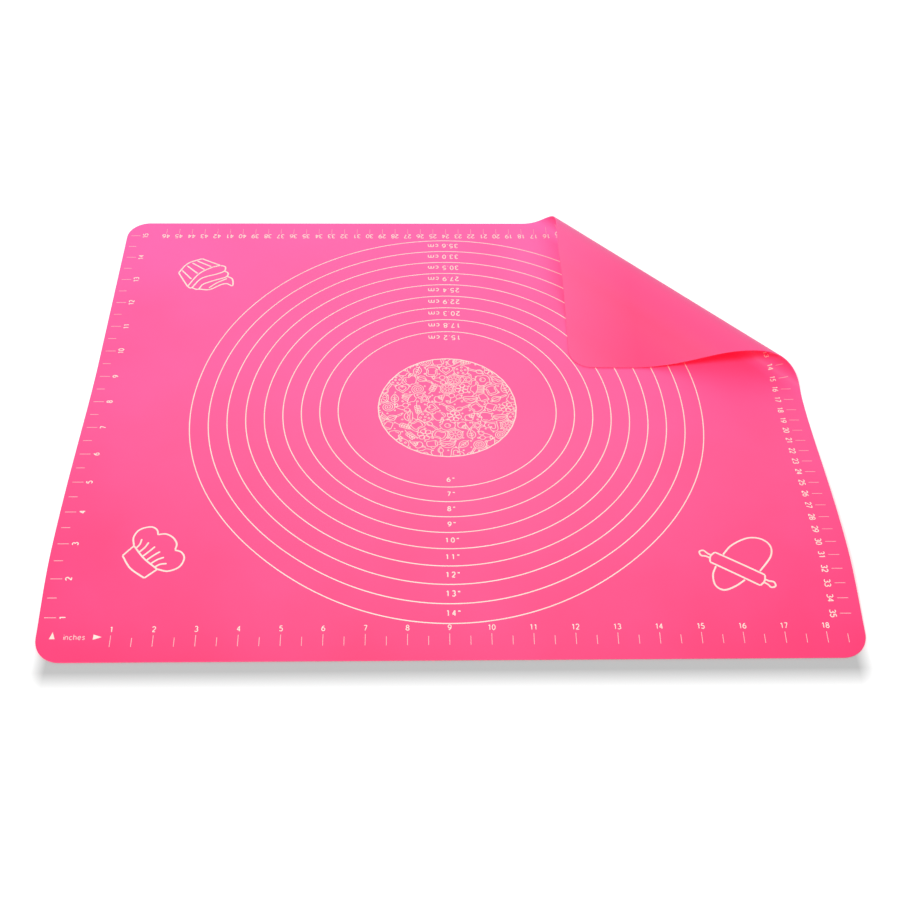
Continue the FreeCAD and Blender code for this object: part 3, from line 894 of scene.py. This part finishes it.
def whisk_picture():
    """A balloon whisk with three loops of wire and a ringed handle."""
    loops = []
    for reach in (9.5, 5.4, 1.6):
        loops += mirrored(curve((1.6, -4.0), (0.8 + 0.75 * reach, 4.0), (reach, 13.0),
                                (0.55 * reach, 19.0), (0.0, 21.0)))
    handle = mirrored(line((1.9, -4.2), (2.3, -19.0)))
    handle += [line((-1.9, -4.2), (1.9, -4.2)), line((-2.0, -6.8), (2.0, -6.8))]
    handle += [arc(0, -19.0, 2.3, 3.0, 180, 360)]
    return loops + handle


PICTURES = [
    (cupcake_picture, (LEFT + 68.5, FRONT + 335.8), 222.3),
    (baker_hat_picture, (LEFT + 59.3, FRONT + 69.3), -46.0),
    (rolling_pin_picture, (LEFT + 427.6, FRONT + 59.4), -29.0),
    (whisk_picture, (LEFT + 434.0, FRONT + 336.0), 135.0),
]
for picture, picture_middle, picture_turn in PICTURES:
    print_lines("corner_pictures", placed(picture(), picture_middle, picture_turn), PICTURE_LINE)


# The middle disc, filled with small kitchen drawings, each about two units across

def heart_line(scale):
    """A heart: x is sin^3 of an angle, y a sum of cosines of it."""
    a = np.linspace(0, 2 * np.pi, 49)
    y = 13 * np.cos(a) - 5 * np.cos(2 * a) - 2 * np.cos(3 * a) - np.cos(4 * a)
    return scale * np.stack([0.94 * np.sin(a) ** 3, y / 17 + 0.1], axis=-1)


def star_line(points, outer, inner):
    """A star: corners at two radii in turn, round a full circle."""
    a = np.linspace(0, 2 * np.pi, 2 * points + 1) + np.pi / 2
    radius = np.where(np.arange(2 * points + 1) % 2, inner, outer)
    return radius[:, None] * directions(a)


def spiral_line(turns, start, end):
    """A spiral: the radius grows evenly with the angle."""
    a = np.linspace(0, 2 * np.pi * turns, 97)
    radius = np.linspace(start, end, 97)
    return radius[:, None] * directions(a)


def around(count, radius, start=0.0):
    """Points spread evenly on a circle, which share out a full turn."""
    return radius * directions(np.radians(start) + 2 * np.pi * np.arange(count) / count)


def small_drawings():
    """The drawings for the disc, each a list of lines."""
    biscuit = [circle(0, 0, 0.93)]
    biscuit += [circle(x, y, 0.13) for x, y in np.vstack([around(5, 0.56, 20), [(0.05, -0.02)]])]
    star = [star_line(5, 1.0, 0.48), star_line(5, 0.52, 0.25)]
    heart = [heart_line(1.0), heart_line(0.55)]
    leaf = mirrored(
        curve((0, -0.75), (0.45, -0.35), (0.48, 0.25), (0, 1.0)), line((0.02, -0.3), (0.32, -0.05)),
        line((0.02, 0.05), (0.3, 0.3)))
    leaf += [line((0, -1.0), (0, 0.8))]
    spoon = mirrored(line((0.1, 0.1), (0.13, -0.95))) + [arc(0, 0.53, 0.34, 0.44)]
    spoon += [arc(0, 0.53, 0.2, 0.29, 100, 250), arc(0, -0.95, 0.13, 0.1, 180, 360)]
    whisk = mirrored(
        line((0.1, -0.25), (0.12, -1.0)), curve((0.1, -0.25), (0.5, 0.35), (0.34, 0.85), (0, 0.98)),
        curve((0.05, -0.25), (0.2, 0.35), (0.14, 0.8), (0, 0.98)))
    whisk += [line((-0.12, -1.0), (0.12, -1.0)), line((-0.12, -0.25), (0.12, -0.25))]
    cherries = [
        circle(-0.45, -0.52, 0.37), circle(0.45, -0.4, 0.37),
        curve((-0.42, -0.15), (-0.2, 0.4), (0.15, 0.9)), curve((0.4, -0.03), (0.34, 0.4), (0.15, 0.9)),
        curve((0.15, 0.9), (0.5, 0.98), (0.85, 0.7)),
        curve((0.15, 0.9), (0.45, 0.6), (0.85, 0.7)), arc(-0.45, -0.52, 0.2, 0.2, 100, 180)]
    mug = [
        curve((-0.62, 0.4), (-0.56, -0.5), (-0.4, -0.82), (0.26, -0.82), (0.42, -0.5), (0.48, 0.4)),
        arc(-0.07, 0.4, 0.55, 0.14), arc(0.44, -0.12, 0.4, 0.3, 75, -80),
        curve((-0.3, 0.65), (-0.2, 0.78), (-0.32, 0.98)), curve((0.1, 0.65), (0.2, 0.78), (0.08, 0.98))]
    bowl = [
        arc(0, 0.2, 0.95, 0.95, 180, 360), arc(0, 0.2, 0.95, 0.2), line((0.2, 0.35), (0.7, 0.98)),
        curve((-0.82, -0.15), (-0.5, -0.32), (-0.2, -0.18), (0.15, -0.34), (0.5, -0.18), (0.82, -0.15))]
    egg = [
        curve((0.9, 0.1), (0.6, 0.65), (0.1, 0.75), (-0.3, 0.95), (-0.85, 0.5), (-0.75, -0.1),
              (-0.9, -0.55), (-0.3, -0.9), (0.25, -0.68), (0.7, -0.65), (0.9, 0.1)),
        circle(0.02, 0.05, 0.36), arc(0.02, 0.05, 0.2, 0.2, 100, 190)]
    loaf = curve(
        (-0.62, -0.85), (-0.66, 0.15), (-0.9, 0.5), (-0.5, 0.88), (0.5, 0.88), (0.9, 0.5), (0.66, 0.15),
        (0.62, -0.85), (-0.62, -0.85))
    bread = [loaf, 0.68 * loaf]
    cone = mirrored(
        line((0.5, 0.05), (0, -1.0)), line((0.26, 0.05), (-0.2, -0.58)),
        line((-0.02, 0.05), (-0.36, -0.25)))
    cone += [
        arc(0, 0.2, 0.6, 0.56, -12, 192),
        curve((-0.58, 0.08), (-0.3, -0.05), (0, 0.08), (0.3, -0.05), (0.58, 0.08)), circle(0, 0.86, 0.14)]
    lemon = [circle(0, 0, 0.94), circle(0, 0, 0.74)]
    lemon += [line(0.16 * p, 0.66 * p) for p in around(8, 1.0, 10)]
    apple = [
        curve((0, 0.42), (-0.4, 0.62), (-0.82, 0.3), (-0.72, -0.4), (-0.32, -0.9), (0, -0.8),
              (0.32, -0.9), (0.72, -0.4), (0.82, 0.3), (0.4, 0.62), (0, 0.42)),
        curve((0, 0.42), (0.02, 0.7), (0.16, 0.95)),
        curve((0.1, 0.72), (0.4, 0.98), (0.72, 0.86), (0.45, 0.7), (0.1, 0.72)),
        arc(-0.3, 0.0, 0.28, 0.4, 110, 210)]
    flower = [circle(x, y, 0.36) for x, y in around(6, 0.6)] + [circle(0, 0, 0.24)]
    bun = [spiral_line(3.1, 0.08, 0.92)]
    wheat = [curve((-0.1, -1.0), (0.05, -0.2), (0, 0.6))]
    for k in range(4):
        y = -0.42 + 0.32 * k
        wheat += mirrored(curve((0.02, y), (0.32, y + 0.1), (0.36, y + 0.42), (0.06, y + 0.24)))
    wheat += [curve((0, 0.6), (-0.14, 0.8), (0, 1.0), (0.14, 0.8), (0, 0.6))]
    cake = [
        curve((-0.7, 0.0), (-0.92, 0.22), (-0.55, 0.5), (-0.4, 0.8), (0, 0.86), (0.4, 0.8), (0.55, 0.5),
              (0.92, 0.22), (0.7, 0.0)),
        curve((-0.8, 0.06), (0, -0.08), (0.8, 0.06)), line((-0.45, -0.95), (0.45, -0.95))]
    cake += mirrored(
        line((0.7, 0.0), (0.45, -0.95)), line((0.4, -0.02), (0.25, -0.95)),
        line((0.1, -0.05), (0.07, -0.95)))
    return [biscuit, whisk, apple, star, mug, flower, spoon, cone, heart, bread, cherries, lemon,
            wheat, cake, egg, leaf, bowl, bun]


# How the disc is filled: rows each way from its middle, rounds of all the drawings, the chance in
# their places and sizes, and the dots between them
DISC_ROWS = 6
DISC_ROUNDS = 8
DISC_SEED = 7
DRAWING_SHIFT = 0.5
DRAWING_SPREAD = (0.94, 1.06)
DOT_RADII = (0.4, 0.7)
SMALL_DOT = 0.5

# Lines are cut at the outline in small steps, and bits with no more points than this are dropped
CUT_STEP = 0.25
DROPPED_POINTS = 3


def cut_round(path, radius):
    """The stretches of a line that lie inside a circle about the origin."""
    length = travel_along(path)[-1]
    points = points_at(path, np.linspace(0, length, math.ceil(length / CUT_STEP) + 1))
    inside = np.hypot(*points.T) < radius
    if inside.all():
        return [path]
    runs = np.split(np.arange(len(points)), np.flatnonzero(np.diff(inside)) + 1)
    return [points[run] for run in runs if inside[run[0]] and len(run) > DROPPED_POINTS]


def print_disc():
    """The disc's outline, and drawings in close rows inside it, each turned its own way, and dots.

    The rows are shifted by half a step in turn, and the outline cuts off what reaches past it.
    """
    drawings = small_drawings()
    chance = np.random.default_rng(DISC_SEED)
    row_step = DRAWING_STEP * math.sqrt(0.75)
    span = slice(-DISC_ROWS, DISC_ROWS + 1)
    rows, columns = np.mgrid[span, span]
    middles = np.stack([(columns + rows % 2 / 2) * DRAWING_STEP, rows * row_step], axis=-1)
    middles = middles.reshape(-1, 2)
    middles = middles[np.hypot(*middles.T) < DISC_RADIUS + DRAWING_SIZE]
    order = np.concatenate([chance.permutation(len(drawings)) for _ in range(DISC_ROUNDS)])
    paths = []
    for middle, which in zip(middles, order):
        shift = chance.uniform(-DRAWING_SHIFT, DRAWING_SHIFT, 2)
        size = DRAWING_SIZE * chance.uniform(*DRAWING_SPREAD)
        paths += placed(drawings[which], middle + shift, chance.uniform(-180, 180), size)
        dot = middle + (0.0, row_step * 2 / 3)
        between = dot + (DRAWING_STEP / 2, -row_step / 3)
        paths += [circle(*dot, chance.uniform(*DOT_RADII)), circle(*between, SMALL_DOT)]
    inside = [piece for path in paths for piece in cut_round(path, DISC_RADIUS - DISC_LINE)]
    print_lines("disc_drawings", placed(inside, RING_MIDDLE), DISC_PICTURE_LINE, step=0.6)
    print_lines("disc_edge", [circle(*RING_MIDDLE, DISC_RADIUS - DISC_LINE / 2)], DISC_LINE, step=1.5)


print_disc()


def make_prints():
    """All printed pieces; those off the fold are attached to the mat, the others lie bent on the fold."""
    stands_for = {"guide_ring_%02d" % k: "ring_%02d_inch" % k for k in RING_INCHES}
    stands_for.update({name: name + "_ticks" for name in RULERS})
    stands_for["disc_edge"] = "disc_outline"
    pieces = []
    for name in printed:
        piece = make_print(name)
        if name.startswith("fold_"):
            bend_with_fold(piece)
        else:
            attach(piece, "mat")
        if name in stands_for:
            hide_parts(stands_for[name])
        pieces.append(piece)
    return pieces


print_pieces = make_prints()


# Stage, light and camera

# The floor: its half side in metres, its depth below the mat, its paint and how far it is lifted
FLOOR_SIZE = 6.0
FLOOR_DROP = 0.05
FLOOR_ROUGHNESS = 0.9
FLOOR_PAINT = 0.88
FLOOR_LIFT = 0.32

# The soft shadow painted on the floor along the front edge: where it is gone and where it is full, and
# the light left
SHADOW_FRONT = (FRONT - 23.5, FRONT - 6.5)
SHADOW_BACK = (FRONT + 60.0, FRONT + 30.0)
SHADOW_SIDE = (RIGHT + 4.0, RIGHT - 9.0)
SHADOW_LIGHT = 0.43

# The light: the surround's strength at the front and at the back, and a lamp in metres and watts
SURROUND_FRONT = 0.45
SURROUND_BACK = 0.81
LAMP_SIZE = 0.6
LAMP_POWER = 46.0
LAMP_PLACE = (-1.04, -1.48, 2.4)

# The camera: its place, its turn to the right, tip down and roll, its lens and its near limit in metres
CAMERA_PLACE = np.array([-18.35, -586.91, 654.08])
CAMERA_TURNS = np.radians([1.949, 49.883, 1.322])
CAMERA_LENS = 50.4
CAMERA_SENSOR = 36.0
CAMERA_NEAR = 0.01


def seen_directly(tree):
    """One for rays that show the background itself: from the camera, by reflection or through glass."""
    rays = add_node(tree, "ShaderNodeLightPath")
    sight = rays.outputs["Is Camera Ray"]
    for name in ("Is Glossy Ray", "Is Transmission Ray"):
        sight = combine(tree, "MAXIMUM", sight, rays.outputs[name])
    return sight


def floor_shade(tree):
    """How much of the floor's paint and lift is kept: less in the soft shadow painted along the mat's
    front edge.
    """
    parts = axes(tree, add_node(tree, "ShaderNodeTexCoord").outputs["Object"])
    sideways = add_node(tree, "ShaderNodeMath", {0: parts["X"]}, operation="ABSOLUTE")
    shadow = map_range(tree, sideways.outputs["Value"], SHADOW_SIDE[0] * MM, SHADOW_SIDE[1] * MM)
    for gone, full in (SHADOW_FRONT, SHADOW_BACK):
        shadow = combine(tree, "MULTIPLY", shadow, map_range(tree, parts["Y"], gone * MM, full * MM))
    return map_range(tree, shadow, 0.0, 1.0, 1.0, SHADOW_LIGHT)


def make_floor():
    """A wide pale floor just under the mat, lifted to white where it is seen, with a soft shadow painted
    along the mat's front edge.
    """
    signs = [(-1, -1), (1, -1), (1, 1), (-1, 1)]
    corners = [(x * FLOOR_SIZE, y * FLOOR_SIZE, -FLOOR_DROP * MM) for x, y in signs]
    mesh = bpy.data.meshes.new("floor")
    mesh.from_pydata(corners, [], [(0, 1, 2, 3)])
    material = bpy.data.materials.new("white_floor")
    material.use_nodes = True
    tree = material.node_tree
    painted_shadow = floor_shade(tree)
    paint = map_range(tree, painted_shadow, 0.0, 1.0, 0.0, FLOOR_PAINT)
    lift = map_range(tree, painted_shadow, 0.0, 1.0, 0.0, FLOOR_LIFT)
    shader = tree.nodes["Principled BSDF"]
    feed(tree, shader, {"Base Color": paint, "Roughness": FLOOR_ROUGHNESS, "Specular IOR Level": 0.0})
    strength = combine(tree, "MULTIPLY", seen_directly(tree), lift)
    glow = add_node(tree, "ShaderNodeEmission", {"Strength": strength})
    both = add_node(tree, "ShaderNodeAddShader", {0: shader.outputs["BSDF"], 1: glow.outputs["Emission"]})
    feed(tree, tree.nodes["Material Output"], {"Surface": both.outputs["Shader"]})
    mesh.materials.append(material)
    floor = add_object("floor", mesh)


def light_scene():
    """White light all round, stronger from behind the mat, and a soft lamp above its front left."""
    world = bpy.data.worlds.new("studio")
    bpy.context.scene.world = world
    world.use_nodes = True
    tree = world.node_tree
    parts = axes(tree, add_node(tree, "ShaderNodeTexCoord").outputs["Generated"])
    front_to_back = map_range(tree, parts["Y"], -1.0, 1.0, SURROUND_FRONT, SURROUND_BACK)
    inputs = {"A": front_to_back, "B": 1.0, "Factor": seen_directly(tree)}
    strength = add_node(tree, "ShaderNodeMix", inputs, data_type="FLOAT").outputs["Result"]
    feed(tree, tree.nodes["Background"], {"Color": (1.0, 1.0, 1.0, 1.0), "Strength": strength})

    lamp = bpy.data.lights.new("softbox", "AREA")
    lamp.shape = "RECTANGLE"
    lamp.size = LAMP_SIZE
    lamp.size_y = LAMP_SIZE
    lamp.energy = LAMP_POWER
    box = add_object("softbox", lamp)
    box.location = LAMP_PLACE
    aim = -box.location.copy()
    box.rotation_euler = aim.to_track_quat("-Z", "Y").to_euler()


def place_camera():
    """The camera in front of and above the mat, turned slightly to the right and tipped a little."""
    yaw, pitch, roll = CAMERA_TURNS
    forward = np.array([np.sin(yaw) * np.cos(pitch), np.cos(yaw) * np.cos(pitch), -np.sin(pitch)])
    level = np.cross(forward, (0, 0, 1))
    level = level / np.linalg.norm(level)
    upright = np.cross(level, forward)
    right = np.cos(roll) * level + np.sin(roll) * upright
    up = np.cos(roll) * upright - np.sin(roll) * level
    matrix = np.eye(4)
    matrix[:3, :3] = np.stack([right, up, -forward], axis=-1)
    matrix[:3, 3] = MM * CAMERA_PLACE
    lens = bpy.data.cameras.new("camera")
    lens.lens = CAMERA_LENS
    lens.sensor_width = CAMERA_SENSOR
    lens.clip_start = CAMERA_NEAR
    camera = add_object("camera", lens)
    camera.matrix_world = Matrix(matrix.tolist())
    bpy.context.scene.camera = camera


make_floor()
light_scene()
place_camera()
bpy.context.scene.view_settings.view_transform = "Standard"
